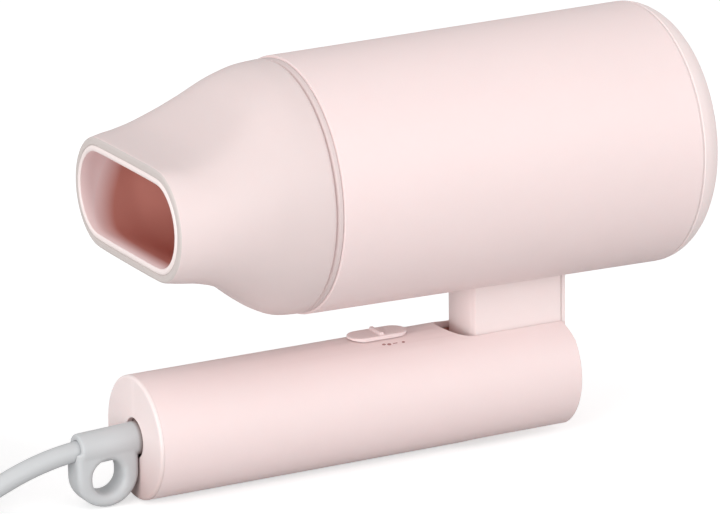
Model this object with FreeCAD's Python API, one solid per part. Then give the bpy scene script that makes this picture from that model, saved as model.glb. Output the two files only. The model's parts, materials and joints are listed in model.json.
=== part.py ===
import FreeCAD, Part
import math
import os

# Folding travel hair dryer, millimetres, +Z up. X runs along the barrel from the nozzle (-X) to the
# rear cover (+X), with X = 0 at the front seam. Z = 0 is the underside of the folded handle.

# ---- driving dimensions ----
R_FRONT = 35.0          # barrel radius at the front seam
R_REAR = 36.5           # barrel radius at the rear seam
L_BARREL = 109.8        # barrel length, seam to seam
WALL = 2.0
BARREL_X0 = 0.75        # front edge of the barrel, behind the collar's rim
AXIS_Z = 80.45          # barrel axis above the handle's underside
HANDLE_R = 17.0
HANDLE_Z = 17.0
HANDLE_X0 = -44.7       # start of the tube, where the end cap's flange sits
HANDLE_X1 = 83.2        # forked end
HANDLE_WALL = 1.8
NECK_X = 68.9           # neck axis
NECK_R = 16.1
NECK_FLAT = 7.6         # half distance between the flats
COVER_X = 81.7          # neck cover starts here
SLOT_HALF = 8.0         # half width of the fork's slot
SLOT_FRONT = 46.8       # round front end of the slot
PIVOT_X = 62.475
PIVOT_Z = 23.425
EYE_R = 9.7             # round underside of the neck about the pivot
PIN_R = 4.0
PIN_CLEAR = 0.05
PIN_HALF = 10.8
COLLAR_R = 31.2         # bore that takes the nozzle's spigot
SPIGOT_CLEAR = 0.05
KNOB_X = 28.0
KNOB_L = 17.6
KNOB_W = 8.0
SWITCH_TRAVEL = 6.4
CORD_D = 5.5
CORD_R = CORD_D / 2
COIL_X, COIL_Y = -117.0, 38.4
COIL_MID_R = 32.8
PLUG_PIN_R = 2.4
PLUG_PIN_L = 19.0
ORIGIN_X = 27.75        # middle of the dryer's length, moved to X = 0 on export

V = FreeCAD.Vector
parts = {}


def cyl_x(r, x0, x1, y=0.0, z=AXIS_Z):
    return Part.makeCylinder(r, x1 - x0, V(x0, y, z), V(1, 0, 0))


def cyl_y(r, y0, y1, x, z):
    return Part.makeCylinder(r, y1 - y0, V(x, y0, z), V(0, 1, 0))


def cyl_z(r, z0, z1, x, y):
    return Part.makeCylinder(r, z1 - z0, V(x, y, z0), V(0, 0, 1))


def box(x0, x1, y0, y1, z0, z1):
    return Part.makeBox(x1 - x0, y1 - y0, z1 - z0, V(x0, y0, z0))


def turned(profile, z=AXIS_Z, y=0.0):
    """Solid of revolution about the line along X at (y, z); profile is (x, radius) corners."""
    pts = [V(x, y, z + r) for x, r in profile]
    face = Part.Face(Part.makePolygon(pts + [pts[0]]))
    return face.revolve(V(0, y, z), V(1, 0, 0), 360)


def slab_y(points, y0, y1):
    """Extrude an XZ outline between two Y values."""
    pts = [V(x, y0, z) for x, z in points]
    return Part.Face(Part.makePolygon(pts + [pts[0]])).extrude(V(0, y1 - y0, 0))


def arc_pts(cx, cz, r, a0, a1, n=16):
    return [
        (cx + r * math.cos(math.radians(a0 + (a1 - a0) * i / n)), cz + r * math.sin(math.radians(a0 + (a1 - a0) * i / n)))
        for i in range(n + 1)
    ]


def stadium_solid(cx, cy, half_len, r, z0, z1):
    """Upright stadium: round ends of radius r, total length 2 * half_len along X."""
    c = half_len - r
    a = [V(cx - c, cy - r, z0), V(cx + c, cy - r, z0), V(cx + c, cy + r, z0), V(cx - c, cy + r, z0)]
    wire = Part.Wire(
        [
            Part.LineSegment(a[0], a[1]).toShape(),
            Part.Arc(a[1], V(cx + c + r, cy, z0), a[2]).toShape(),
            Part.LineSegment(a[2], a[3]).toShape(),
            Part.Arc(a[3], V(cx - c - r, cy, z0), a[0]).toShape(),
        ]
    )
    return Part.Face(wire).extrude(V(0, 0, z1 - z0))


def fuse(shapes):
    out = shapes[0]
    if len(shapes) > 1:
        out = shapes[0].multiFuse(shapes[1:])
    return out


def group(shapes):
    return Part.makeCompound(shapes)


def barrel_r(x):
    return R_FRONT + (R_REAR - R_FRONT) * x / 110.0


# ---- barrel shell ----
shell = turned(
    [
        (BARREL_X0, R_FRONT - 0.35),
        (BARREL_X0 + 0.1, R_FRONT - 0.1),
        (BARREL_X0 + 0.35, barrel_r(BARREL_X0 + 0.35)),
        (L_BARREL - 0.3, barrel_r(L_BARREL - 0.3)),
        (L_BARREL, barrel_r(L_BARREL) - 0.3),
        (L_BARREL, barrel_r(L_BARREL) - WALL),
        (BARREL_X0, barrel_r(BARREL_X0) - WALL),
    ]
)
barrel_outer = turned([(-5, barrel_r(-5)), (115, barrel_r(115)), (115, 0.0), (-5, 0.0)])
barrel_inner = turned([(-5, barrel_r(-5) - WALL), (115, barrel_r(115) - WALL), (115, 0.0), (-5, 0.0)])
WIRE_X = 72.5
SCREW_X = (59.0, 78.6)
shell = shell.cut(cyl_z(4.0, 30, 60, WIRE_X - 3.0, 0))
for sx in SCREW_X:
    shell = shell.cut(cyl_z(1.6, 30, 60, sx, 0))
parts["barrel_shell"] = shell

# ---- outlet collar: takes the nozzle's spigot, its rim shows between nozzle and barrel ----
parts["outlet_collar"] = turned(
    [
        (-0.84, COLLAR_R),
        (-0.84, 33.55),
        (-0.65, 33.85),
        (-0.4, 34.15),
        (-0.1, 34.35),
        (0.5, 34.4),
        (0.58, 34.2),
        (BARREL_X0, 34.2),
        (BARREL_X0, 32.95),
        (14.0, 32.95),
        (14.0, 30.2),
        (13.0, 30.2),
        (13.0, COLLAR_R),
    ]
)

# ---- front grille ----
grille = [turned([(10.6, 29.6), (10.6, COLLAR_R), (12.8, COLLAR_R), (12.8, 29.6)])]
for rr in (9.0, 19.5):
    grille.append(turned([(10.8, rr - 0.7), (10.8, rr + 0.7), (12.6, rr + 0.7), (12.6, rr - 0.7)]))
for k in range(6):
    bar = box(10.9, 12.5, -0.7, 0.7, 8.6, 30.0)
    bar.rotate(V(0, 0, 0), V(1, 0, 0), 60 * k + 30)
    bar.translate(V(0, 0, AXIS_Z))
    grille.append(bar)
parts["front_grille"] = fuse(grille)

# ---- nozzle: round at the root, wide flat mouth ----
NOZ_X = [-1.14, -7.0, -13.0, -20.0, -27.0, -34.0, -40.0, -45.9]
NOZ_H = [34.5, 33.7, 31.0, 25.5, 20.9, 17.6, 16.15, 15.3]
NOZ_W = [34.5, 35.0, 35.4, 35.9, 36.0, 35.6, 34.6, 32.6]


QUARTER = [0, 2, 5, 9, 14, 20, 27, 35, 44, 54, 65, 77]
ANGLES = (
    [-90 + a for a in QUARTER]
    + [90 - a for a in [90] + QUARTER[:0:-1]]
    + [90 + a for a in QUARTER]
    + [270 - a for a in [90] + QUARTER[:0:-1]]
)


def oval_points(h, w, k=5.0):
    """Smooth oval with nearly straight long sides: half height h, half width w."""
    c = max(w - h, 0.0)
    pts = []
    for a in ANGLES:
        co, si = math.cos(math.radians(a)), math.sin(math.radians(a))
        pts.append((c * math.tanh(k * co) / math.tanh(k) + h * co, h * si))
    return pts


def knots():
    """One set of parameters for every section, from the lengths along a middle one."""
    p = oval_points(22.0, 34.5)
    t = [0.0]
    for i in range(len(p)):
        q = p[(i + 1) % len(p)]
        t.append(t[-1] + math.hypot(q[0] - p[i][0], q[1] - p[i][1]))
    return [v / t[-1] for v in t]


PARAMS = knots()


def spline_wire(x, h, w):
    curve = Part.BSplineCurve()
    curve.interpolate(Points=[V(x, y, AXIS_Z + z) for y, z in oval_points(h, w)], PeriodicFlag=True, Parameters=PARAMS)
    return Part.Wire([curve.toShape()])


def smooth(xs, ys, x):
    """Monotone cubic through the points, xs falling."""
    n = len(xs)
    d = [(ys[i + 1] - ys[i]) / (xs[i + 1] - xs[i]) for i in range(n - 1)]
    m = [d[0]] + [0.0 if d[i - 1] * d[i] <= 0 else 2 * d[i - 1] * d[i] / (d[i - 1] + d[i]) for i in range(1, n - 1)] + [d[-1]]
    for i in range(n - 1):
        if xs[i] >= x >= xs[i + 1]:
            hh = xs[i + 1] - xs[i]
            t = (x - xs[i]) / hh
            return (
                ys[i] * (2 * t**3 - 3 * t**2 + 1)
                + hh * m[i] * (t**3 - 2 * t**2 + t)
                + ys[i + 1] * (3 * t**2 - 2 * t**3)
                + hh * m[i + 1] * (t**3 - t**2)
            )
    return ys[-1]


def loft(sections):
    return Part.makeLoft([spline_wire(x, h, w) for x, h, w in sections], True, False)


stations = [-1.14, -4.0, -7.5, -11.0, -14.5, -18.0, -22.0, -26.0, -30.0, -34.0, -38.0, -42.0, -45.9]
outer = [(x, smooth(NOZ_X, NOZ_H, x), smooth(NOZ_X, NOZ_W, x)) for x in stations]
noz_outer = loft(outer)
IN_X = [3.0, -3.0, -8.0, -13.0, -20.0, -27.0, -34.0, -40.0, -44.6, -46.5]
IN_H = [29.2, 29.6, 29.6, 27.9, 23.0, 18.7, 15.2, 12.9, 11.6, 11.44]
IN_W = [29.2, 29.6, 31.2, 32.5, 33.2, 33.4, 32.5, 31.0, 29.4, 29.1]
in_stations = [3.0, -1.0, -5.0, -9.0, -13.0, -17.0, -21.0, -25.0, -29.0, -33.0, -37.0, -41.0, -44.6, -46.5]
noz_inner = loft([(x, smooth(IN_X, IN_H, x), smooth(IN_X, IN_W, x)) for x in in_stations])
noz = noz_outer.cut(noz_inner)
spigot = turned([(9.0, 29.2), (9.0, 30.8), (8.6, COLLAR_R - SPIGOT_CLEAR), (-1.6, COLLAR_R - SPIGOT_CLEAR), (-1.6, 29.2)])
spigot = spigot.cut(turned([(4.0, 30.2), (4.0, 32), (5.2, 32), (5.2, 30.2)]))
web = turned([(-1.14, 29.2), (-1.14, 34.0), (-2.6, 34.0), (-2.6, 29.2)])
noz = fuse([noz, web, spigot])
noz = noz.cut(noz_inner.common(box(-50, -2.7, -50, 50, 0, 200)))
parts["nozzle"] = noz.removeSplitter() if noz.isValid() else noz

ring = turned([(4.1, 30.25), (4.1, COLLAR_R - 0.1), (5.1, COLLAR_R - 0.1), (5.1, 30.25)])
parts["nozzle_snap_ring"] = ring.cut(box(3, 6, -1.5, 1.5, AXIS_Z - 40, AXIS_Z))

# ---- heater ----
shield = turned([(14.1, 30.0), (14.1, 30.6), (56.0, 30.6), (56.0, 30.0)])
parts["heat_shield"] = shield
COIL_XS = [20.0 + 5.0 * i for i in range(8)]
boards = [slab_y([(15.5, AXIS_Z - 28), (57, AXIS_Z - 28), (57, AXIS_Z + 28), (15.5, AXIS_Z + 28)], -0.4, 0.4)]
for s in (-1, 1):
    y0, y1 = (0.4, 28.0) if s > 0 else (-28.0, -0.4)
    boards.append(box(15.5, 57.0, y0, y1, AXIS_Z - 0.4, AXIS_Z + 0.4))
notches = [Part.makeTorus(26.8, 0.9, V(x, 0, AXIS_Z), V(1, 0, 0)) for x in COIL_XS]
boards = [b.cut(fuse(notches)) for b in boards]
parts["heater_boards"] = group([s for b in boards for s in b.Solids])
wind = [Part.makeTorus(26.8, 0.6, V(x, 0, AXIS_Z), V(1, 0, 0)) for x in COIL_XS]
for i, x in enumerate(COIL_XS[:-1]):
    a = math.radians(45 if i % 2 else 225)
    wind.append(cyl_x(0.42, x, x + 5.0, 26.8 * math.cos(a), AXIS_Z + 26.8 * math.sin(a)))
parts["heater_coil"] = fuse(wind)
thermo = cyl_y(5.0, 0.4, 4.4, 36.0, AXIS_Z + 12)
thermo = fuse([thermo, box(28.0, 44.0, 0.4, 1.4, AXIS_Z + 10, AXIS_Z + 14)])
parts["thermostat"] = thermo
fuse_body = cyl_x(1.8, 24.0, 36.0, -2.25, AXIS_Z + 12)
fuse_body = fuse([fuse_body, cyl_x(0.4, 20.5, 24.0, -2.25, AXIS_Z + 12), cyl_x(0.4, 36.0, 42.0, -2.25, AXIS_Z + 12)])
parts["thermal_fuse"] = fuse_body

# ---- motor, mount and fan ----
mount = [turned([(60.0, 32.0), (60.0, 33.65), (102.0, 33.65), (102.0, 32.0)])]
mount.append(turned([(62.0, 12.05), (62.0, 14.2), (84.0, 14.2), (84.0, 12.05)]))
for k in range(7):
    vane = box(64.0, 82.0, -0.6, 0.6, 13.6, 32.4)
    vane.rotate(V(73, 0, 0), V(0, 0, 1), 12)
    vane.rotate(V(0, 0, 0), V(1, 0, 0), 360.0 / 7 * k)
    vane.translate(V(0, 0, AXIS_Z))
    mount.append(vane)
mount = fuse(mount)
mount = mount.cut(cyl_z(9.0, 30, AXIS_Z - 31, WIRE_X - 3.0, 0))
parts["motor_mount"] = mount.cut(box(54.5, 84.6, -8.6, 8.6, 44, AXIS_Z - 30.7))
can = cyl_x(12.0, 64.0, 86.0)
can = fuse([can, cyl_x(4.0, 86.0, 87.2)])
can = can.cut(cyl_x(1.05, 60.0, 90.0))
parts["motor_can"] = can
board = cyl_x(11.0, 60.6, 62.0).cut(cyl_x(2.0, 60.0, 63.0))
diodes = [cyl_y(1.3, -3.0, 3.0, 59.2, AXIS_Z + s) for s in (-7.0, -4.4, 4.4, 7.0)]
pins = [box(62.0, 64.0, s - 0.7, s + 0.7, AXIS_Z - 8.3, AXIS_Z - 7.7) for s in (-4.5, 4.5)]
parts["motor_board"] = group([fuse([board] + pins)] + [d for d in diodes])
parts["motor_shaft"] = cyl_x(1.0, 62.6, 100.0)
hub = turned([(88.2, 1.0), (88.2, 12.5), (99.0, 9.0), (101.0, 6.0), (101.5, 3.0), (101.5, 1.0)])
blades = []
for k in range(9):
    b = box(88.6, 99.4, -0.6, 0.6, 8.5, 33.0)
    b.rotate(V(94, 0, 0), V(0, 0, 1), -32)
    b.rotate(V(0, 0, 0), V(1, 0, 0), 40.0 * k)
    b.translate(V(0, 0, AXIS_Z))
    blades.append(b.common(turned([(87, 8.0), (87, 31.4), (101.0, 31.4), (101.0, 8.0)])))
parts["fan_impeller"] = fuse([hub] + blades)

# ---- rear cover ----
cov_out = [(110.2, 36.15), (110.5, 36.45), (112.0, 36.1), (113.2, 35.6), (114.4, 34.9), (115.6, 33.9), (116.6, 32.7), (117.6, 31.0), (118.4, 29.0), (119.0, 26.0), (119.4, 22.0), (119.7, 15.0), (119.8, 7.0), (119.8, 0.0)]
cov_in = [(117.6, 0.0), (117.5, 15.0), (117.2, 22.0), (116.6, 27.0), (115.4, 30.0), (113.6, 32.2), (111.6, 32.8), (104.5, 32.8), (104.5, 34.3), (110.2, 34.3)]
cover = turned(cov_out + cov_in)
holes = []
for rr, n in ((6.0, 6), (10.5, 12), (15.0, 18), (19.5, 24), (24.0, 30)):
    for i in range(n):
        a = 2 * math.pi * (i + (0.5 if n % 4 else 0.0)) / n
        holes.append(cyl_x(1.25, 112.0, 125.0, rr * math.cos(a), AXIS_Z + rr * math.sin(a)))
holes.append(cyl_x(1.25, 112.0, 125.0))
screw_a = [math.radians(a) for a in (90, 210, 330)]
cover = cover.cut(group(holes))
parts["rear_cover"] = cover

# lint filter: rim with crossed bars
mesh = [turned([(110.0, 30.4), (110.0, 32.7), (111.4, 32.7), (111.4, 30.4)])]
for i in range(-9, 10):
    y = 3.2 * i
    half = math.sqrt(31.5**2 - y * y)
    mesh.append(box(110.3, 110.7, y - 0.3, y + 0.3, AXIS_Z - half, AXIS_Z + half))
    mesh.append(box(110.7, 111.1, -half, half, AXIS_Z + y - 0.3, AXIS_Z + y + 0.3))
parts["intake_mesh"] = fuse(mesh)

# three short screws hold the cover's spigot to the shell from inside
screws = []
for a in screw_a:
    s = Part.makeCylinder(1.2, 3.2, V(107.6, 0, 31.0), V(0, 0, 1)).fuse(Part.makeCylinder(2.2, 1.2, V(107.6, 0, 31.5), V(0, 0, 1)))
    s.rotate(V(0, 0, 0), V(1, 0, 0), math.degrees(a) - 90)
    s.translate(V(0, 0, AXIS_Z))
    screws.append(s)
for s in screws:
    parts["rear_cover"] = parts["rear_cover"].cut(s)
    parts["barrel_shell"] = parts["barrel_shell"].cut(s)
parts["cover_screws"] = group(screws)

# ---- neck ----
px, pz = PIVOT_X, PIVOT_Z
side = arc_pts(px, pz, EYE_R, 180, 270, 18)
side += [(px + 13.0, pz - EYE_R)] + arc_pts(px + 14.6, pz - 1.7, 8.0, 270, 360, 10) + [(NECK_X + 20, pz), (NECK_X + 20, 62.0), (px - EYE_R, 62.0)]
neck = slab_y(side, -NECK_FLAT, NECK_FLAT).common(cyl_z(NECK_R, 0, 70, NECK_X, 0))
neck = neck.cut(barrel_outer)
pivot_bore = cyl_y(PIN_R + PIN_CLEAR, -10, 10, px, pz)
neck = neck.cut(pivot_bore)
channel = fuse([box(WIRE_X - 3.0, WIRE_X + 1.5, -1.7, 1.7, 15.1, 60.0), box(50.0, WIRE_X + 1.5, -1.7, 1.7, 15.1, 18.1)])
neck = neck.cut(channel)
for sx in SCREW_X:
    neck = neck.cut(cyl_z(1.2, 33.5, 60, sx, 0))
ball_c = V(px + 8.0, -6.35, pz)
neck = neck.cut(cyl_y(1.45, -10.0, -2.5, px + 8.0, pz))
front_neck = neck.common(box(0, COVER_X, -20, 20, 0, 70))
rear_neck = neck.common(box(COVER_X + 0.25, 100, -20, 20, 0, 70))
key = box(COVER_X - 2.0, COVER_X + 0.3, -2.0, 2.0, 27.0, 34.0)
front_neck = front_neck.cut(key)
rear_neck = rear_neck.fuse(key)
parts["neck_block"] = front_neck
parts["neck_cover"] = rear_neck
saddle = box(55.0, 84.0, -8.0, 8.0, 44, 60).common(barrel_inner).cut(turned([(-5, 32.0), (115, 32.0), (115, 0.0), (-5, 0.0)]))
saddle = saddle.cut(cyl_z(4.0, 30, 60, WIRE_X - 3.0, 0))
for sx in SCREW_X:
    saddle = saddle.cut(cyl_z(1.6, 30, 60, sx, 0))
parts["neck_saddle"] = saddle
nscrews = []
for sx in SCREW_X:
    top = AXIS_Z - 31.95
    nscrews.append(fuse([cyl_z(1.2, 36.0, top, sx, 0), cyl_z(2.4, top, top + 1.5, sx, 0)]))
parts["neck_screws"] = group(nscrews)
parts["detent_ball"] = Part.makeSphere(1.4, ball_c)
helix = Part.makeHelix(0.75, 1.5, 1.0)
wire_c = Part.Wire([Part.makeCircle(0.2, V(1.0, 0, 0), V(0, 1, 0))])
spring = Part.Wire(helix).makePipeShell([wire_c], True, True)
spring.rotate(V(0, 0, 0), V(1, 0, 0), 90)
spring.translate(V(px + 8.0, -2.9, pz))
parts["detent_spring"] = spring


def tube_path(route, d, fraction=0.45, radii=None):
    """Straight runs joined by tangent arcs; returns (wire, length, radii)."""
    pts = [V(*p) for p in route]
    edges, out_r, length = [], [], 0.0
    last = pts[0]
    for i in range(1, len(pts) - 1):
        a, b, c = pts[i - 1], pts[i], pts[i + 1]
        u, w = (a - b), (c - b)
        lu, lw = u.Length, w.Length
        u.normalize()
        w.normalize()
        turn = math.pi - math.acos(max(-1, min(1, u.dot(w))))
        r = fraction * min(lu, lw) / math.tan(turn / 2)
        t = r * math.tan(turn / 2)
        s, e = b + u * t, b + w * t
        bis = u + w
        bis.normalize()
        mid = b + bis * (r / math.cos(turn / 2) - r)
        edges.append(Part.LineSegment(last, s).toShape())
        edges.append(Part.Arc(s, mid, e).toShape())
        length += (s - last).Length + r * turn
        out_r.append(round(r, 1))
        last = e
    edges.append(Part.LineSegment(last, pts[-1]).toShape())
    length += (pts[-1] - last).Length
    return Part.Wire(edges), length, out_r


def tube(route, d, name, fraction=0.45):
    wire, length, radii = tube_path(route, d, fraction)
    direction = V(*route[1]) - V(*route[0])
    prof = Part.Wire([Part.makeCircle(d / 2, V(*route[0]), direction)])
    solid = wire.makePipeShell([prof], True, False)
    print(name, "length", round(length, 1), "radii", radii, "volume ratio", round(solid.Volume / (math.pi * d * d / 4 * length), 4))
    return solid


nw = []
for s in (-0.8, 0.8):
    nw.append(tube([(54.2, s, 16.6), (64.0, s, 16.6), (WIRE_X - 1.0, s, 16.75), (WIRE_X - 0.9, s, 26.0), (WIRE_X - 1.5, s, 36.0), (WIRE_X - 1.5, s, 47.6)], 1.4, "neck_wire"))
parts["neck_wires"] = group(nw)

# ---- handle ----
hshell = cyl_x(HANDLE_R, HANDLE_X0, HANDLE_X1, 0, HANDLE_Z).cut(cyl_x(HANDLE_R - HANDLE_WALL, HANDLE_X0 - 1, HANDLE_X1 + 1, 0, HANDLE_Z))
slot = stadium_solid(SLOT_FRONT + 40, 0, 40, SLOT_HALF, -5, 45)
hshell = hshell.cut(slot)
hshell = hshell.cut(stadium_solid(KNOB_X + SWITCH_TRAVEL / 2, 0, 1.5 + SWITCH_TRAVEL / 2 + 0.6, 1.9, 25, 40))
# the fork's upper corners are rounded about the pivot so that they pass under the barrel
SWING_R = 21.1
corners = box(PIVOT_X, 90.0, -20, 20, PIVOT_Z, 45.0).cut(cyl_y(SWING_R, -21, 21, px, pz))
hshell = hshell.cut(corners)
parts["handle_shell"] = hshell

ins = cyl_x(HANDLE_R - HANDLE_WALL - 0.03, 45.0, HANDLE_X1, 0, HANDLE_Z)
ins = ins.cut(slot)
ins = ins.cut(cyl_y(PIN_R, -PIN_HALF, PIN_HALF, px, pz)).cut(corners)
ins = ins.cut(box(40, 60, -1.8, 1.8, 15.0, 18.2))
ins = ins.cut(box(40, 45.8, -9, 9, 5, 14.5)).cut(box(40, 45.8, -9, 9, 19.0, 28.5))
parts["fork_insert"] = ins
parts["hinge_pin"] = cyl_y(PIN_R, -PIN_HALF, PIN_HALF, px, pz).cut(cyl_y(2.0, -13.0, 13.0, px, pz))
parts["hinge_washers"] = group(
    [cyl_y(6.4, y0, y1, px, pz).cut(cyl_y(PIN_R, y0 - 1, y1 + 1, px, pz)) for y0, y1 in ((7.72, 8.0), (-8.0, -7.72))]
)

CAP_EDGE = 0.9
CAP_X = HANDLE_X0 - CAP_EDGE
cap_edge = [
    (HANDLE_X0 - CAP_EDGE * math.sin(math.radians(a)), HANDLE_R - CAP_EDGE * (1 - math.cos(math.radians(a))))
    for a in (0, 15, 30, 45, 60, 75, 90)
]
cap = turned(
    cap_edge
    + [
        (CAP_X, 5.7),
        (CAP_X + 0.2, 5.5),
        (HANDLE_X0 + 0.6, 5.5),
        (HANDLE_X0 + 0.6, 13.3),
        (HANDLE_X0 + 7.0, 13.3),
        (HANDLE_X0 + 7.0, 15.1),
        (HANDLE_X0, 15.1),
    ],
    HANDLE_Z,
)
parts["handle_end_cap"] = cap

# ---- strain relief with hanging loop ----
LOOP_X, LOOP_HOLE = -54.9, 4.4
RELIEF_X0, RELIEF_X1 = -62.5, -38.5
sleeve = turned(
    [
        (RELIEF_X0, CORD_R + 0.02),
        (RELIEF_X0, 4.15),
        (RELIEF_X0 + 0.4, 4.5),
        (-46.4, 4.5),
        (-46.1, 4.2),
        (-46.1, 3.6),
        (-43.8, 3.6),
        (-43.8, 9.6),
        (-41.6, 9.6),
        (-41.6, 4.5),
        (RELIEF_X1, 4.5),
        (RELIEF_X1, CORD_R + 0.02),
    ],
    HANDLE_Z,
)
tab_w = 9.0
tab = stadium_solid(0, 0, 17.0, tab_w, -4.1, 4.1).common(Part.makeBox(40, 40, 20, V(-22.6, -20, -10)))
tab = tab.cut(stadium_solid(17.0 - tab_w + 0.4, 0, LOOP_HOLE + 0.5, LOOP_HOLE, -10, 10))
faces_z = [e for e in tab.Edges if abs(e.BoundBox.ZMin - e.BoundBox.ZMax) < 0.01 and e.BoundBox.XMax > -15]
tab = tab.makeFillet(1.7, faces_z)
tab.rotate(V(0, 0, 0), V(1, 0, 0), 90)
tab.rotate(V(0, 0, 0), V(0, 1, 0), 90)
tab.translate(V(LOOP_X, 0, 17.15))
tab = tab.common(box(-70, -40, -5, 5, -5, HANDLE_Z))
relief = fuse([sleeve, tab]).cut(cyl_x(CORD_R + 0.02, -70, -30, 0, HANDLE_Z))
parts["strain_relief"] = relief

# cord clamp: two jaws with two screws, inside the handle
clamp_bore = cyl_x(CORD_R, -40, -20, 0, HANDLE_Z)
lower = box(-36, -29, -11, 11, 11.0, 16.9).cut(clamp_bore)
upper = box(-36, -29, -11, 11, 17.1, 22.0).cut(clamp_bore)
cs = []
for s in (-7.5, 7.5):
    scr = fuse([cyl_z(1.25, 12.0, 22.0, -32.5, s), cyl_z(2.4, 22.0, 23.6, -32.5, s)])
    cs.append(scr)
    lower = lower.cut(cyl_z(1.25, 12.0, 30.0, -32.5, s))
    upper = upper.cut(cyl_z(1.25, 10.0, 30.0, -32.5, s))
foot = box(-36, -29, -5, 5, 2.9, 11.0)
parts["cord_clamp"] = group([fuse([lower, foot]), upper])
parts["clamp_screws"] = group(cs)

# ---- switch ----
sw = box(17.0, 42.0, -6.2, 6.2, 18.9, 29.4)
sw = fuse([sw] + [box(x, x + 0.8, s - 1.5, s + 1.5, 15.4, 18.9) for x in (20.0, 29.0, 38.0) for s in (-3.5, 3.5)])
parts["switch_body"] = sw
knob = stadium_solid(KNOB_X, 0, KNOB_L / 2, KNOB_W / 2, 33.0, 35.0)
knob = knob.cut(cyl_x(HANDLE_R + 0.3, KNOB_X - 20, KNOB_X + 20, 0, HANDLE_Z))
try:
    top_e = [e for e in knob.Edges if e.BoundBox.ZMin > 34.99]
    knob = knob.makeFillet(0.3, top_e)
except Exception as err:
    print("knob fillet skipped", err)
ridge = slab_y([(KNOB_X - 0.9, 34.6), (KNOB_X + 0.9, 34.6), (KNOB_X + 0.45, 35.75), (KNOB_X - 0.45, 35.75)], -3.3, 3.3)
stem = box(KNOB_X - 1.5, KNOB_X + 1.5, -1.2, 1.2, 29.6, 34.6)
parts["switch_knob"] = fuse([knob, ridge, stem])

# wires from the clamp past the switch to the fork
hw = []
for s in (-0.8, 0.8):
    hw.append(tube([(-26.0, s, 17.0), (-14.0, s, 15.6), (2.0, s, 12.6), (20.0, s, 12.4), (34.0, s, 13.4), (47.4, s, 16.6)], 1.4, "handle_wire"))
parts["handle_wires"] = group(hw)

# ---- cord, coil and plug ----
route = [
    (-27.0, 0, 17.0),
    (-46.0, 0, 17.0),
    (-64.0, 0, 16.3),
    (-76.0, 0.0, 13.8),
    (-87.0, -0.1, 9.6),
    (-96.5, -0.2, 5.1),
    (-107.0, 0.0, 2.8),
]
parts["cord"] = tube(route, CORD_D, "cord")

coil_h = 3 * CORD_D
coil_w = 1.5 * CORD_D
prof = [(COIL_MID_R - coil_w, 0.0), (COIL_MID_R + coil_w, 0.0), (COIL_MID_R + coil_w, coil_h), (COIL_MID_R - coil_w, coil_h)]
pts = [V(COIL_X + r, COIL_Y, z) for r, z in prof]
coil = Part.Face(Part.makePolygon(pts + [pts[0]])).revolve(V(COIL_X, COIL_Y, 0), V(0, 0, 1), 360)
coil = coil.makeFillet(2.6, coil.Edges)
parts["cord_coil"] = coil
parts["cord"] = parts["cord"].cut(coil)

# two-pin round-contour plug lying on the coil
PLUG_X, PLUG_Y0, PLUG_Z = COIL_X - 25.1, 46.1, coil_h + 11.2
PLUG_L = 28.0
plug = stadium_solid(0, 0, 17.7, 11.0, 0.0, PLUG_L)
nose = stadium_solid(0, 0, 11.0, 8.0, -6.0, 0.0)
tail = Part.makeCone(4.6, 7.0, 9.0, V(0, 0, -15.0), V(0, 0, 1))
plug = fuse([plug, nose, tail])
plug = plug.cut(cyl_z(CORD_R, -16.0, -6.0, 0, 0))
plug.rotate(V(0, 0, 0), V(1, 0, 0), -90)
plug.translate(V(PLUG_X, PLUG_Y0, PLUG_Z))
parts["plug_body"] = plug
pins = []
for s in (-9.5, 9.5):
    y1 = PLUG_Y0 + PLUG_L
    pin = cyl_y(PLUG_PIN_R, y1, y1 + PLUG_PIN_L - 1.2, PLUG_X + s, PLUG_Z)
    tip = Part.makeCone(PLUG_PIN_R, PLUG_PIN_R - 0.8, 1.2, V(PLUG_X + s, y1 + PLUG_PIN_L - 1.2, PLUG_Z), V(0, 1, 0))
    pins.append(fuse([pin, tip]))
parts["plug_pins"] = group(pins)

os.makedirs("parts", exist_ok=True)
for name, shape in parts.items():
    shape.translate(V(-ORIGIN_X, 0, 0))
    ok = shape.isValid() and len(shape.Solids) > 0
    bb = shape.BoundBox
    print(f"{name:18s} solids {len(shape.Solids):3d} valid {ok} vol {shape.Volume:10.1f} x {bb.XMin:7.1f} {bb.XMax:7.1f} y {bb.YMin:6.1f} {bb.YMax:6.1f} z {bb.ZMin:6.1f} {bb.ZMax:6.1f}")
    shape.exportStep("parts/" + name + ".step")
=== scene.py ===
import json
import math

import bmesh
import bpy
from mathutils import Matrix, Vector


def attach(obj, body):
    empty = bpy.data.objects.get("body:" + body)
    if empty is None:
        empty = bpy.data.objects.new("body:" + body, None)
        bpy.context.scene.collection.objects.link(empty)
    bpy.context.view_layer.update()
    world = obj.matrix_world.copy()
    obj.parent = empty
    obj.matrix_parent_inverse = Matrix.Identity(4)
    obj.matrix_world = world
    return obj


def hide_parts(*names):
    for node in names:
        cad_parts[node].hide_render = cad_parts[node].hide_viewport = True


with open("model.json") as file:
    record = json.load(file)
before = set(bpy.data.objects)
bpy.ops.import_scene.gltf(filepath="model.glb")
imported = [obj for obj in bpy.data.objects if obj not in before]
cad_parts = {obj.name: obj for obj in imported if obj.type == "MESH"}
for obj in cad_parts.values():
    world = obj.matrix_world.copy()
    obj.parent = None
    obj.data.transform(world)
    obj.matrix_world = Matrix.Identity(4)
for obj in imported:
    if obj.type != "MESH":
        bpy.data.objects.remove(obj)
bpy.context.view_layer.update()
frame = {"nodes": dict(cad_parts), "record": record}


nodes = frame["nodes"]
scene = bpy.context.scene
scene.view_settings.view_transform = "Standard"

# The design frame has X = 0 at the front seam; the row frame has it at the middle of the dryer's length.
OX = 27.75
AXIS_Z = 80.45


def P(x, y, z):
    """A point of the design frame, in millimetres, in the row frame in metres."""
    return Vector(((x - OX) / 1000, y / 1000, z / 1000))


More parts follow.
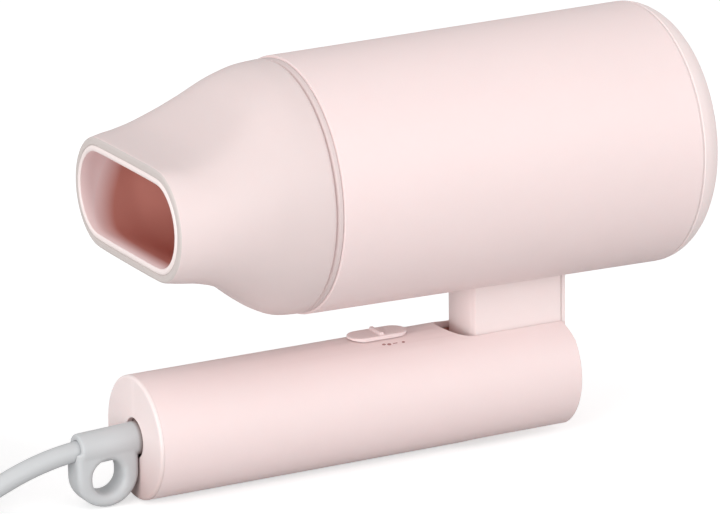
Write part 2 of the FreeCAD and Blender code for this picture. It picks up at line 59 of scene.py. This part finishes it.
# ------------------------------------------------------------------ camera
cam_data = bpy.data.cameras.new("camera")
cam = bpy.data.objects.new("camera", cam_data)
scene.collection.objects.link(cam)
right = Vector((0.8836576, -0.4679623, -0.0126690))
down = Vector((-0.1443066, -0.2465510, -0.9583257))
ahead = Vector((0.4453367, 0.8486601, -0.2853967))
m = Matrix.Identity(4)
for i in range(3):
    m[i][0], m[i][1], m[i][2] = right[i], -down[i], -ahead[i]
m[0][3], m[1][3], m[2][3] = -0.569325, -1.076331, 0.418969
cam.matrix_world = m
cam_data.sensor_fit = "HORIZONTAL"
cam_data.sensor_width = 36.0
cam_data.lens = 234.0445
cam_data.clip_start = 0.05
cam_data.clip_end = 50.0
scene.camera = cam


# ------------------------------------------------------------------ helpers
def link(obj):
    scene.collection.objects.link(obj)
    return obj


def mesh_object(name, bm, smooth=True):
    mesh = bpy.data.meshes.new(name)
    bm.to_mesh(mesh)
    bm.free()
    if smooth:
        mesh.polygons.foreach_set("use_smooth", [True] * len(mesh.polygons))
    return link(bpy.data.objects.new(name, mesh))


def apply_all(obj):
    """Bake the modifiers of a new piece into its mesh."""
    bpy.context.view_layer.update()
    dg = bpy.context.evaluated_depsgraph_get()
    mesh = bpy.data.meshes.new_from_object(obj.evaluated_get(dg))
    obj.modifiers.clear()
    obj.data = mesh
    mesh.polygons.foreach_set("use_smooth", [True] * len(mesh.polygons))
    return obj


def set_mat(obj, mat):
    obj.data.materials.clear()
    obj.data.materials.append(mat)


# ------------------------------------------------------------------ cord
ROUTE = [
    (-27.0, 0, 17.0),
    (-46.0, 0, 17.0),
    (-64.0, 0, 16.3),
    (-76.0, 0.0, 13.8),
    (-87.0, -0.1, 9.6),
    (-96.5, -0.2, 5.1),
    (-107.0, 0.0, 2.8),
]
CORD_D = 5.5
COIL_MID_R = 32.8
COIL_X, COIL_Y = -117.0, 38.4
PLUG_X, PLUG_Y0, PLUG_Z = -142.1, 46.1, 27.7
PER_TURN = 20


def step(t, a, b):
    u = max(0.0, min(1.0, (t - a) / (b - a)))
    return u * u * (3 - 2 * u)


def coil_point(t):
    """Turn t of the coil: three layers, the turns side by side with a crossing in each turn."""
    r = 38.4 - CORD_D * step(t, 0.75, 1.0) - CORD_D * step(t, 1.75, 2.0)
    r += CORD_D * step(t, 3.25, 3.5) + CORD_D * step(t, 4.25, 4.5) - 5.6 * step(t, 6.25, 6.5)
    z = 2.8 + CORD_D * step(t, 2.5, 2.75) + CORD_D * step(t, 5.0, 5.25) + 13.9 * step(t, 6.75, 7.2)
    a = math.radians(-90 - 360 * t)
    grow = 1.0 / math.cos(math.pi / PER_TURN) if 0.02 < t else 1.0
    return (COIL_X + r * grow * math.cos(a), COIL_Y + r * grow * math.sin(a), z)


def cord_points():
    pts = list(ROUTE)
    n = int(7.0 * PER_TURN)
    pts += [coil_point(k / PER_TURN) for k in range(n + 1)]
    # the end leaves the top layer, turns into the plug's tail and runs straight in
    r = COIL_X - PLUG_X
    cy = COIL_Y - COIL_MID_R + r
    for a in (12, 30, 48, 66, 82):
        q = math.radians(-90 - a)
        z = pts[n + len(ROUTE)][2] + (PLUG_Z - pts[n + len(ROUTE)][2]) * step(a, -6, 84)
        pts.append((COIL_X + r * math.cos(q), cy + r * math.sin(q), z))
    pts += [(PLUG_X, cy + 4.5, PLUG_Z), (PLUG_X, cy + 8.0, PLUG_Z)]
    return pts


curve = bpy.data.curves.new("mains_cord", "CURVE")
curve.dimensions = "3D"
spline = curve.splines.new("NURBS")
pts = cord_points()
spline.points.add(len(pts) - 1)
for p, q in zip(spline.points, pts):
    v = P(*q)
    p.co = (v.x, v.y, v.z, 1.0)
spline.order_u = 3
spline.use_endpoint_u = True
curve.resolution_u = 10
curve.bevel_depth = CORD_D / 2000
curve.bevel_resolution = 8
curve.use_fill_caps = True
cord = link(bpy.data.objects.new("mains_cord", curve))


# ------------------------------------------------------------------ materials
def nodes_of(name):
    mat = bpy.data.materials.new(name)
    mat.use_nodes = True
    nt = mat.node_tree
    bsdf = nt.nodes["Principled BSDF"]
    return mat, nt, bsdf


def noise(nt, coord, scale, detail=3.0, rough=0.5):
    n = nt.nodes.new("ShaderNodeTexNoise")
    n.inputs["Scale"].default_value = scale
    n.inputs["Detail"].default_value = detail
    n.inputs["Roughness"].default_value = rough
    nt.links.new(coord.outputs["Object"], n.inputs["Vector"])
    return n


def ramp(nt, src, lo, hi, a=0.0, b=1.0):
    r = nt.nodes.new("ShaderNodeMapRange")
    r.inputs["From Min"].default_value = a
    r.inputs["From Max"].default_value = b
    r.inputs["To Min"].default_value = lo
    r.inputs["To Max"].default_value = hi
    nt.links.new(src, r.inputs["Value"])
    return r


def mix_rgb(nt, fac, a, b, blend="MIX"):
    x = nt.nodes.new("ShaderNodeMix")
    x.data_type = "RGBA"
    x.blend_type = blend
    if isinstance(fac, float):
        x.inputs[0].default_value = fac
    else:
        nt.links.new(fac, x.inputs[0])
    for slot, v in ((6, a), (7, b)):
        if isinstance(v, tuple):
            x.inputs[slot].default_value = (*v, 1.0)
        else:
            nt.links.new(v, x.inputs[slot])
    return x.outputs[2]


def scaled(c, k):
    return tuple(min(1.0, v * k) for v in c)


def plastic(name, color, rough=0.5, grain=1800.0, grain_h=0.00002, tint=0.05, sss=0.0, spec=0.5, wear=0.5, coat=0.0, fade=None, glow=None, tilt=0.0):
    """Moulded plastic: spark-eroded grain, slow colour and gloss variation, paler worn edges, painted shade in creases.
    fade: (x0, x1, colour), painted shade ramped along X; glow: painted light, an emission ramped with the same mask;
    tilt leans the ramp with height.
    """
    mat, nt, b = nodes_of(name)
    co = nt.nodes.new("ShaderNodeTexCoord")
    slow = noise(nt, co, 22.0, 3.0, 0.55)
    mid = noise(nt, co, 260.0, 4.0, 0.6)
    fine = noise(nt, co, grain, 2.0, 0.5)
    base = mix_rgb(nt, slow.outputs["Fac"], scaled(color, 1.0 - tint * 0.5), scaled(color, 1.0 + tint * 0.5))
    base = mix_rgb(nt, ramp(nt, mid.outputs["Fac"], 0.0, 0.35, 0.45, 0.75).outputs[0], base, scaled(color, 1.0 + tint * 0.6))
    geo = nt.nodes.new("ShaderNodeNewGeometry")
    edge = ramp(nt, geo.outputs["Pointiness"], 0.0, wear, 0.53, 0.62)
    base = mix_rgb(nt, edge.outputs[0], base, scaled(color, 1.07))
    # painted shade: concave creases (low pointiness) are darkened towards a deeper red
    crease_shade = ramp(nt, geo.outputs["Pointiness"], 0.35, 0.0, 0.40, 0.48)
    base = mix_rgb(nt, crease_shade.outputs[0], base, (color[0] * 0.72, color[1] * 0.6, color[2] * 0.6))
    # painted shade: the surface is ramped along X to the fade colour
    if fade:
        xyz = nt.nodes.new("ShaderNodeSeparateXYZ")
        nt.links.new(co.outputs["Object"], xyz.inputs[0])
        shade_lean = nt.nodes.new("ShaderNodeMath")  # painted shade: the lower wall turns to the deep colour nearer the mouth
        shade_lean.operation = "MULTIPLY_ADD"
        nt.links.new(xyz.outputs["Z"], shade_lean.inputs[0])
        shade_lean.inputs[1].default_value = -tilt
        shade_lean.inputs[2].default_value = tilt * AXIS_Z / 1000
        along = nt.nodes.new("ShaderNodeMath")
        along.operation = "ADD"
        nt.links.new(xyz.outputs["X"], along.inputs[0])
        nt.links.new(shade_lean.outputs[0], along.inputs[1])
        depth = ramp(nt, along.outputs[0], 0.0, 1.0, fade[0], fade[1]).outputs[0]
        base = mix_rgb(nt, depth, base, fade[2])
        # painted light: the surface glows of its own, ramped between the two glow colours along the painted-shade mask
        if glow:
            nt.links.new(mix_rgb(nt, depth, glow[0], glow[1]), b.inputs["Emission Color"])
            b.inputs["Emission Strength"].default_value = 1.0
    nt.links.new(base, b.inputs["Base Color"])
    nt.links.new(ramp(nt, mid.outputs["Fac"], rough - 0.05, rough + 0.06, 0.3, 0.7).outputs[0], b.inputs["Roughness"])
    bump = nt.nodes.new("ShaderNodeBump")
    bump.inputs["Strength"].default_value = 0.55
    bump.inputs["Distance"].default_value = grain_h
    nt.links.new(fine.outputs["Fac"], bump.inputs["Height"])
    nt.links.new(bump.outputs["Normal"], b.inputs["Normal"])
    b.inputs["Specular IOR Level"].default_value = spec
    if sss:
        b.inputs["Subsurface Weight"].default_value = sss
        b.inputs["Subsurface Radius"].default_value = (1.0, 0.55, 0.5)
        b.inputs["Subsurface Scale"].default_value = 0.0015
    if coat:
        b.inputs["Coat Weight"].default_value = coat
        b.inputs["Coat Roughness"].default_value = 0.35
    return mat


def metal(name, color, rough=0.3, brushed=(1, 1, 1), grain=600.0):
    mat, nt, b = nodes_of(name)
    co = nt.nodes.new("ShaderNodeTexCoord")
    mp = nt.nodes.new("ShaderNodeMapping")
    mp.inputs["Scale"].default_value = brushed
    nt.links.new(co.outputs["Object"], mp.inputs["Vector"])
    n = nt.nodes.new("ShaderNodeTexNoise")
    n.inputs["Scale"].default_value = grain
    n.inputs["Detail"].default_value = 4.0
    nt.links.new(mp.outputs["Vector"], n.inputs["Vector"])
    base = mix_rgb(nt, n.outputs["Fac"], scaled(color, 0.85), scaled(color, 1.1))
    nt.links.new(base, b.inputs["Base Color"])
    nt.links.new(ramp(nt, n.outputs["Fac"], rough - 0.08, rough + 0.12).outputs[0], b.inputs["Roughness"])
    b.inputs["Metallic"].default_value = 1.0
    bump = nt.nodes.new("ShaderNodeBump")
    bump.inputs["Strength"].default_value = 0.4
    bump.inputs["Distance"].default_value = 0.00001
    nt.links.new(n.outputs["Fac"], bump.inputs["Height"])
    nt.links.new(bump.outputs["Normal"], b.inputs["Normal"])
    return mat


PINK = (0.840, 0.690, 0.680)
M = {
    "pink": plastic("pink_plastic", PINK, rough=0.52, sss=0.12, tint=0.035),
    # painted light: a lighter copy of the pink plastic for parts that face away from the lamps
    "cover": plastic("pink_cover_painted_light", (0.875, 0.745, 0.732), rough=0.52, sss=0.12, tint=0.035),
    # painted light and shade: the lighter pink copy, with painted shade darkening the cap towards its bottom
    "cap": plastic("pink_end_cap_painted_light_shade", (0.875, 0.745, 0.732), rough=0.52, sss=0.12, tint=0.035, fade=(-0.013, 0.006, (0.600, 0.455, 0.438)), tilt=1.0),
    # painted shade: a darker copy of the nozzle plastic for the band in the groove; painted light: a glow at its front
    # edge beside the nozzle's root
    "collar": plastic("collar_painted_shade_glow", (0.640, 0.535, 0.525), rough=0.50, tint=0.035,
                      fade=(-0.02855, -0.02805, (0.640, 0.535, 0.525)), glow=((0.180, 0.145, 0.142), (0.0, 0.0, 0.0))),
    # painted shade: a darker, redder copy of the pink for the fork insert deep in the slot
    "slot": plastic("pink_slot_painted_shade", (0.720, 0.345, 0.285), rough=0.52, sss=0.12, tint=0.035),
    # painted highlight: a lighter copy of the nozzle plastic for the bead round the opening
    "bead": plastic("nozzle_bead_painted_highlight", (0.870, 0.765, 0.745), rough=0.45, tint=0.03),
    "nozzle": plastic("nozzle_plastic", (0.738, 0.616, 0.605), rough=0.50, sss=0.12, tint=0.035),
    # painted light and shade: lighter than the nozzle plastic at the mouth with a painted glow, ramping to a deep rose
    # painted shade further in
    "bore": plastic("nozzle_bore_painted_shade_glow", (0.800, 0.655, 0.635), rough=0.55, tint=0.04, 
                    fade=(-0.0675, -0.0600, (0.660, 0.315, 0.265)), glow=((0.215, 0.160, 0.165), (0.035, 0.003, 0.001)), tilt=0.45),
    # painted shade and reflection: a darker, greyer copy of the nozzle plastic for the mouth's face band
    "rim": plastic("nozzle_rim_painted_shade", (0.595, 0.532, 0.510), rough=0.5, tint=0.04),
    "rose": plastic("rose_plastic", (0.545, 0.300, 0.280), rough=0.55, tint=0.06),
    # painted shade: the sleeve turns pinkish brown where it enters the end cap's hole
    "rubber": plastic("grey_rubber", (0.540, 0.550, 0.560), rough=0.48, grain=1300.0, tint=0.05, sss=0.05,
                      fade=(-0.0741, -0.0726, (0.330, 0.230, 0.215))),
    "pvc": plastic("cord_grey", (0.530, 0.540, 0.550), rough=0.42, grain=900.0, grain_h=0.000015, tint=0.05),
    "black": plastic("black_plastic", (0.035, 0.034, 0.036), rough=0.55, tint=0.3),
    "board": plastic("board_green", (0.04, 0.16, 0.08), rough=0.45, tint=0.2),
    "mica": plastic("mica", (0.52, 0.44, 0.27), rough=0.35, grain=300.0, tint=0.25, coat=0.3),
    "wire": plastic("wire_insulation", (0.70, 0.66, 0.62), rough=0.45, tint=0.06),
    "mark": plastic("mark_ink", (0.40, 0.20, 0.19), rough=0.6, tint=0.08, wear=0.0),
    "brass": metal("plated_brass", (0.80, 0.80, 0.77), 0.22, (1, 0.1, 1)),
    "spring": metal("spring_steel", (0.62, 0.62, 0.63), 0.3),
    "can": metal("motor_steel", (0.56, 0.56, 0.57), 0.35, (0.1, 1, 1)),
    "heat": metal("heating_wire", (0.36, 0.31, 0.28), 0.5),
    "alu": metal("control_metal", (0.72, 0.72, 0.73), 0.35),
    "tie": plastic("tie_strap", (0.10, 0.10, 0.105), rough=0.7, grain=2600.0, grain_h=0.00006, tint=0.3),
}
SLOT_MAT = {
    "pink_plastic": "pink", "nozzle_plastic": "nozzle", "rose_plastic": "rose", "grey_rubber": "rubber",
    "cord_grey": "pvc", "plated_brass": "brass", "spring_steel": "spring", "motor_steel": "can", "mica": "mica",
    "heating_wire": "heat", "black_plastic": "black", "board_green": "board", "control_metal": "alu",
    "wire_insulation": "wire",
}
slot_of = {s["node"]: s["material_slot"] for s in frame["record"]["subparts"]}

# CAD nodes: join the tessellation's vertices, shade smooth across fine facets, split at real edges
BEVEL = {"handle_shell": 0.30, "neck_block": 0.14, "neck_cover": 0.2}
for name, obj in nodes.items():
    # rear cover, neck block and neck cover take the painted-light copy of the pink; fork insert, end cap and collar
    # take their painted-shade materials
    key = "cover" if name in ("rear_cover", "neck_block", "neck_cover") else SLOT_MAT[slot_of[name]]
    set_mat(obj, M[{"fork_insert": "slot", "handle_end_cap": "cap", "outlet_collar": "collar"}.get(name, key)])
    obj.data.polygons.foreach_set("use_smooth", [True] * len(obj.data.polygons))
    if obj.data.has_custom_normals:
        obj.data.attributes.remove(obj.data.attributes["custom_normal"])
    w = obj.modifiers.new("weld", "WELD")
    w.merge_threshold = 0.000004
    width = BEVEL.get(name, 0.0)
    if width:
        bv = obj.modifiers.new("bevel", "BEVEL")
        bv.width = width / 1000
        bv.segments = 3
        bv.limit_method = "ANGLE"
        bv.angle_limit = math.radians(38)
        bv.use_clamp_overlap = True
    es = obj.modifiers.new("split", "EDGE_SPLIT")
    es.split_angle = math.radians(38)
    wn = obj.modifiers.new("weighted", "WEIGHTED_NORMAL")
    wn.weight = 80

set_mat(cord, M["pvc"])
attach(cord, "handle")
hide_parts("cord", "cord_coil")


# ------------------------------------------------------------------ soft-edged pieces made from CAD shapes
def softened(node, name, voxel, passes, factor=0.5, collar=None):
    """A remeshed copy of a CAD node with its edges and corners rounded. collar: (x0, x1, z, radius) of a drum merged into it."""
    src = nodes[node]
    obj = link(bpy.data.objects.new(name, src.data.copy()))
    if collar:
        x0, x1, zc, rad = collar
        bm = bmesh.new()
        bm.from_mesh(obj.data)
        ends = [[bm.verts.new(P(x, rad * math.cos(2 * math.pi * k / 64), zc + rad * math.sin(2 * math.pi * k / 64))) for k in range(64)] for x in (x0, x1)]
        for k in range(64):
            bm.faces.new((ends[0][k], ends[0][(k + 1) % 64], ends[1][(k + 1) % 64], ends[1][k]))
        bm.faces.new(ends[0][::-1])
        bm.faces.new(ends[1])
        bm.to_mesh(obj.data)
        bm.free()
    w = obj.modifiers.new("weld", "WELD")
    w.merge_threshold = 0.000004
    r = obj.modifiers.new("remesh", "REMESH")
    r.mode = "VOXEL"
    r.voxel_size = voxel / 1000
    s = obj.modifiers.new("smooth", "SMOOTH")
    s.factor = factor
    s.iterations = passes
    apply_all(obj)
    return obj


relief = softened("strain_relief", "relief_sleeve", 0.27, 8, collar=(-46.6, -43.9, 17.0, 4.55))
for v in relief.data.vertices:  # the soft sleeve droops a little with the cord; the loop's foot stays on the ground
    x, z = v.co.x * 1000 + OX, v.co.z * 1000
    if x < -46.0:
        v.co.z -= 0.75 * ((-46.0 - x) / 16.5) * min(1.0, max(0.0, (z - 0.4) / 12.0)) / 1000
set_mat(relief, M["rubber"])
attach(relief, "handle")
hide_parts("strain_relief")

plug = softened("plug_body", "plug_moulding", 0.6, 6)
set_mat(plug, M["pvc"])
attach(plug, "handle")
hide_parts("plug_body")

knob = softened("switch_knob", "slide_button", 0.16, 4)
set_mat(knob, M["pink"])
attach(knob, "switch")
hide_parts("switch_knob")

# ------------------------------------------------------------------ nozzle, with rounded lips
NOZ_X = [-1.14, -7.0, -13.0, -20.0, -27.0, -34.0, -40.0, -45.9]
NOZ_H = [34.5, 33.7, 31.0, 25.5, 20.9, 17.6, 16.15, 15.3]
NOZ_W = [34.5, 35.0, 35.4, 35.9, 36.0, 35.6, 34.6, 32.6]
IN_X = [3.0, -3.0, -8.0, -13.0, -20.0, -27.0, -34.0, -40.0, -44.6, -46.5]
IN_H = [29.2, 29.6, 29.6, 27.9, 23.0, 18.7, 15.2, 12.9, 11.6, 11.44]
IN_W = [29.2, 29.6, 31.2, 32.5, 33.2, 33.4, 32.5, 31.0, 29.4, 29.1]


def smooth_at(xs, ys, x):
    """Monotone cubic through the points, xs falling."""
    n = len(xs)
    d = [(ys[i + 1] - ys[i]) / (xs[i + 1] - xs[i]) for i in range(n - 1)]
    mm = [d[0]] + [0.0 if d[i - 1] * d[i] <= 0 else 2 * d[i - 1] * d[i] / (d[i - 1] + d[i]) for i in range(1, n - 1)] + [d[-1]]
    x = min(xs[0], max(xs[-1], x))
    for i in range(n - 1):
        if xs[i] >= x >= xs[i + 1]:
            hh = xs[i + 1] - xs[i]
            t = (x - xs[i]) / hh
            return (ys[i] * (2 * t**3 - 3 * t**2 + 1) + hh * mm[i] * (t**3 - 2 * t**2 + t)
                    + ys[i + 1] * (3 * t**2 - 2 * t**3) + hh * mm[i + 1] * (t**3 - t**2))
    return ys[-1]


def oval(h, w, n, k=5.0):
    """Smooth oval with nearly straight long sides, points closer together round the ends."""
    c = max(w - h, 0.0)
    out = []
    for i in range(n):
        a = 2 * math.pi * i / n
        a = a + 0.30 * math.sin(2 * a) * (c / w if w else 0)
        co, si = math.cos(a), math.sin(a)
        out.append((c * math.tanh(k * co) / math.tanh(k) + h * co, h * si))
    return out


def nozzle_rings():
    """Sections (x, half height, half width) from the root's rim along the outside, round the mouth and back inside."""
    rings = []
    xm = -45.9
    root = 1.1
    rings.append((-1.14, 33.0, 33.0))
    for q in range(0, 7):
        a = math.radians(15 * q)
        x = -1.14 - root * (1 - math.cos(a))
        off = root * (1 - math.sin(a))
        rings.append((x, smooth_at(NOZ_X, NOZ_H, x) - off, smooth_at(NOZ_X, NOZ_W, x) - off))
    lip = 0.7
    x = -2.9
    while x > xm + lip + 0.3:
        rings.append((x, smooth_at(NOZ_X, NOZ_H, x), smooth_at(NOZ_X, NOZ_W, x)))
        x -= 1.05
    # the mouth: a rounded edge, a flat face, a shallow valley and a narrow bead round the opening
    rim_from = len(rings)
    face = [(xm + lip * (1 - math.sin(math.radians(q))), 0.19 * (1 - math.cos(math.radians(q)))) for q in range(0, 91, 15)]
    face += [(xm, 0.30), (xm, 0.44), (xm + 0.02, 0.50), (xm + 0.17, 0.53), (xm + 0.22, 0.56), (xm + 0.08, 0.595), (xm - 0.12, 0.64),
             (xm - 0.26, 0.70), (xm - 0.30, 0.80), (xm - 0.22, 0.90), (xm - 0.05, 0.97), (xm + 0.05, 1.0)]
    rim_to = rim_from + 11
    for x, f in face:
        ho, wo = smooth_at(NOZ_X, NOZ_H, x), smooth_at(NOZ_X, NOZ_W, x)
        hi, wi = smooth_at(IN_X, IN_H, x), smooth_at(IN_X, IN_W, x)
        rings.append((x, ho + (hi - ho) * f, wo + (wi - wo) * f))
    inner_from = len(rings) - 1
    x = xm + 0.8
    while x < -2.8:
        rings.append((x, smooth_at(IN_X, IN_H, x), smooth_at(IN_X, IN_W, x)))
        x += 1.05
    rings.append((-2.75, smooth_at(IN_X, IN_H, -2.75), smooth_at(IN_X, IN_W, -2.75)))
    return rings, rim_from, rim_to, inner_from


bm = bmesh.new()
N = 192
rows = []
inside = []
sections, rim_from, rim_to, inner_from = nozzle_rings()
for x, h, w in sections:
    square = 5.0 + 5.5 * step(-x, 38.0, 45.9)
    rows.append([bm.verts.new(P(x, y, AXIS_Z + z)) for y, z in oval(h, w, N, square)])
# the spigot: down its bore, round its end and back to the rim
spig = [(-2.0, 29.3), (0.0, 29.2), (3.0, 29.2), (6.0, 29.2), (8.8, 29.2), (9.0, 29.4), (9.0, 30.7), (8.6, 31.15),
        (5.2, 31.15), (5.2, 30.2), (4.0, 30.2), (4.0, 31.15), (2.0, 31.15), (0.0, 31.15), (-1.1, 31.15)]
for x, r in spig:
    rows.append([bm.verts.new(P(x, r * math.cos(2 * math.pi * i / N), AXIS_Z + r * math.sin(2 * math.pi * i / N))) for i in range(N)])
for k, (a, b) in enumerate(zip(rows, rows[1:])):
    for i in range(N):
        j = (i + 1) % N
        bm.faces.new((a[i], a[j], b[j], b[i]))
        inside.append(1 if inner_from <= k < len(sections) + 5 else 2 if rim_from + 2 <= k <= rim_to else 3 if rim_to < k < inner_from else 0)
for j in range(N):
    k = (j + 1) % N
    bm.faces.new((rows[-1][j], rows[-1][k], rows[0][k], rows[0][j]))
    inside.append(0)
bmesh.ops.recalc_face_normals(bm, faces=bm.faces)
nozzle = mesh_object("nozzle_shell", bm)
es = nozzle.modifiers.new("split", "EDGE_SPLIT")
es.split_angle = math.radians(35)
set_mat(nozzle, M["nozzle"])
# material 1 is the bore (painted shade and glow), 2 the mouth's face band (painted shade and reflection), 3 the bead
# (painted highlight)
nozzle.data.materials.append(M["bore"])
nozzle.data.materials.append(M["rim"])
nozzle.data.materials.append(M["bead"])
nozzle.data.polygons.foreach_set("material_index", inside)
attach(nozzle, "nozzle")
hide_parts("nozzle")


# ------------------------------------------------------------------ printed marks on the handle
def mark(name, outline, cx, cy):
    """A thin ink patch on the handle's round surface; outline is in millimetres about (cx, cy)."""
    bm = bmesh.new()
    R = 17.02
    top = []
    for dx, dy in outline:
        x, s = cx + dx, cy + dy
        a = s / 17.0
        top.append(bm.verts.new(P(x, R * math.sin(a), 17.0 + R * math.cos(a))))
    f = bm.faces.new(top)
    ext = bmesh.ops.extrude_face_region(bm, geom=[f])
    low = [v for v in ext["geom"] if isinstance(v, bmesh.types.BMVert)]
    for v in low:
        y, z = v.co.y, v.co.z - 0.017
        k = (R - 0.06) / R
        v.co.y, v.co.z = y * k, 0.017 + z * k
    bmesh.ops.recalc_face_normals(bm, faces=bm.faces)
    o = mesh_object(name, bm, smooth=False)
    set_mat(o, M["mark"])
    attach(o, "handle")
    return o


def disc(r, n=14, sx=1.0, sy=1.0, ox=0.0, oy=0.0):
    return [(ox + r * sx * math.cos(2 * math.pi * i / n), oy + r * sy * math.sin(2 * math.pi * i / n)) for i in range(n)]


mark("mark_icon_a", disc(0.44, sx=1.3, sy=0.85), 27.25, -5.75)
mark("mark_icon_b", disc(0.48, sx=1.3, sy=0.95), 28.75, -6.05)
mark("mark_dash", [(-0.7, -0.16), (0.7, -0.16), (0.7, 0.16), (-0.7, 0.16)], 30.6, -6.0)
mark("mark_dot", disc(0.36, sx=1.35), 33.1, -6.1)

# ------------------------------------------------------------------ filler ring down in the rear seam, in the painted-light pink: it fills the gap so the seam's shade shows only as a faint line
bm = bmesh.new()
loops = []
for k in range(160):
    a = 2 * math.pi * k / 160
    loops.append([bm.verts.new(P(x, r * math.sin(a), 80.45 + r * math.cos(a))) for x, r in ((109.86, 34.5), (109.86, 36.12), (110.0, 36.17), (110.14, 36.12), (110.14, 34.5))])
for k in range(160):
    q, w = loops[k], loops[(k + 1) % 160]
    for i in range(5):
        j = (i + 1) % 5
        bm.faces.new((q[i], q[j], w[j], w[i]))
bmesh.ops.recalc_face_normals(bm, faces=bm.faces)
seam = mesh_object("rear_seam_filler", bm, smooth=False)
set_mat(seam, M["cover"])
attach(seam, "barrel")

# ------------------------------------------------------------------ tie round the coil
bm = bmesh.new()
half, th, wid, mid = 8.4, 0.9, 5.0, 8.55
section = []
for k in range(48):
    a = 2 * math.pi * k / 48
    section.append((math.copysign(abs(math.cos(a)) ** 0.42, math.cos(a)), math.copysign(abs(math.sin(a)) ** 0.42, math.sin(a))))
grid = []
for across, e in ((-wid, 0.25), (-wid + 0.4, 0.0), (-wid / 2, 0.0), (0.0, 0.0), (wid / 2, 0.0), (wid - 0.4, 0.0), (wid, 0.25)):
    ring = []
    for u, v in section:
        r = COIL_MID_R + (half + th - e) * u
        z = mid + (mid + (th - e) * (1 if v > 0 else 0.05)) * v
        ring.append(bm.verts.new(P(COIL_X + across, COIL_Y + r, max(0.02, z))))
    grid.append(ring)
for a, b in zip(grid, grid[1:]):
    for i in range(48):
        bm.faces.new((a[i], a[(i + 1) % 48], b[(i + 1) % 48], b[i]))
bmesh.ops.recalc_face_normals(bm, faces=bm.faces)
tie = mesh_object("cord_tie", bm)
so = tie.modifiers.new("solid", "SOLIDIFY")
so.thickness = 0.0008
so.offset = -1.0
apply_all(tie)
set_mat(tie, M["tie"])
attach(tie, "handle")

# ------------------------------------------------------------------ floor and light
bm = bmesh.new()
bmesh.ops.create_grid(bm, x_segments=8, y_segments=8, size=6.0)
floor = mesh_object("floor", bm)
floor.location = (0, 0, -0.0001)
mat, nt, b = nodes_of("floor_white")
co = nt.nodes.new("ShaderNodeTexCoord")
fn = noise(nt, co, 6.0, 2.0)
nt.links.new(mix_rgb(nt, fn.outputs["Fac"], (0.60, 0.60, 0.60), (0.62, 0.62, 0.62)), b.inputs["Base Color"])
b.inputs["Roughness"].default_value = 0.9
b.inputs["Specular IOR Level"].default_value = 0.1
b.inputs["Emission Color"].default_value = (1.0, 1.0, 1.0, 1.0)
seen = nt.nodes.new("ShaderNodeLightPath")
glow = nt.nodes.new("ShaderNodeMath")
glow.operation = "MULTIPLY"
glow.inputs[1].default_value = 0.58
nt.links.new(seen.outputs["Is Camera Ray"], glow.inputs[0])
nt.links.new(glow.outputs[0], b.inputs["Emission Strength"])
set_mat(floor, mat)

world = bpy.data.worlds.new("world")
scene.world = world
world.use_nodes = True
world.node_tree.nodes["Background"].inputs["Color"].default_value = (1.0, 1.0, 1.0, 1.0)
world.node_tree.nodes["Background"].inputs["Strength"].default_value = 0.60


def area(name, where, to, size, power, color=(1, 1, 1), size_y=None):
    d = bpy.data.lights.new(name, "AREA")
    d.shape = "RECTANGLE"
    d.size = size
    d.size_y = size_y or size
    d.energy = power
    d.color = color
    o = link(bpy.data.objects.new(name, d))
    o.location = where
    o.rotation_euler = (Vector(to) - Vector(where)).to_track_quat("-Z", "Y").to_euler()
    return o


area("front", (0.45, -1.45, 0.75), (0.02, 0, 0.06), 1.3, 8.6)
area("left", (-1.30, -0.65, 0.40), (0, 0, 0.06), 0.9, 13.0)
area("top", (-0.5, -0.1, 1.5), (0, 0, 0.05), 1.2, 2.4)
area("right", (1.4, -0.7, 0.45), (0, 0, 0.06), 0.9, 2.6)
